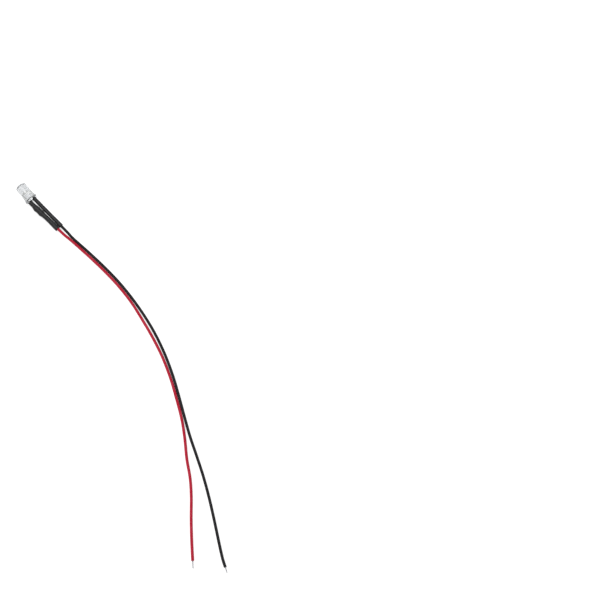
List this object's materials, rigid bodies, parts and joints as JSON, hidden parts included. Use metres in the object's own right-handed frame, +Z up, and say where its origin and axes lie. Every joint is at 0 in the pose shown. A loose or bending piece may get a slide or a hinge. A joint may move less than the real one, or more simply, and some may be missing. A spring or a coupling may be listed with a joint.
{
  "type": "through hole led",
  "caption": "Clear flat-topped light-emitting diode with sleeved legs, an in-line resistor, and red and black insulated lead wires with tinned ends.",
  "frame": {"origin": "middle of the footprint of the LED and its sleeves, on the surface that it lies on", "axes": "+X from the lens along the sleeves towards the wires, +Y towards the cathode and its black wire, +Z up"},
  "size_m": [0.1864, 0.066, 0.0061],
  "materials": {
    "clear_epoxy": "clear cast epoxy, glossy",
    "silvered_frame": "silver-plated stamped steel",
    "chip": "sawn semiconductor crystal",
    "gold_wire": "drawn gold wire",
    "resistor_coat": "dipped epoxy coat on ceramic",
    "tinned_lead": "tin-plated wire",
    "solder": "bright solder",
    "heat_shrink": "shrunk polyolefin tube, satin",
    "red_pvc": "extruded PVC, semi-gloss",
    "black_pvc": "extruded PVC, semi-gloss"
  },
  "bodies": {
    "root": {"lens": "clear_epoxy", "cathode_lead": "silvered_frame", "anode_lead": "silvered_frame", "led_chip": "chip", "bond_wire": "gold_wire", "resistor_body": "resistor_coat", "resistor_front_lead": "tinned_lead", "resistor_rear_lead": "tinned_lead", "anode_solder_joint": "solder", "red_solder_joint": "solder", "black_solder_joint": "solder", "red_core": "tinned_lead", "black_core": "tinned_lead", "resistor_sleeve": "heat_shrink", "cathode_sleeve": "heat_shrink", "red_wire": "red_pvc", "black_wire": "black_pvc", "red_tinned_end": "solder", "black_tinned_end": "solder"}
  },
  "joints": []
}
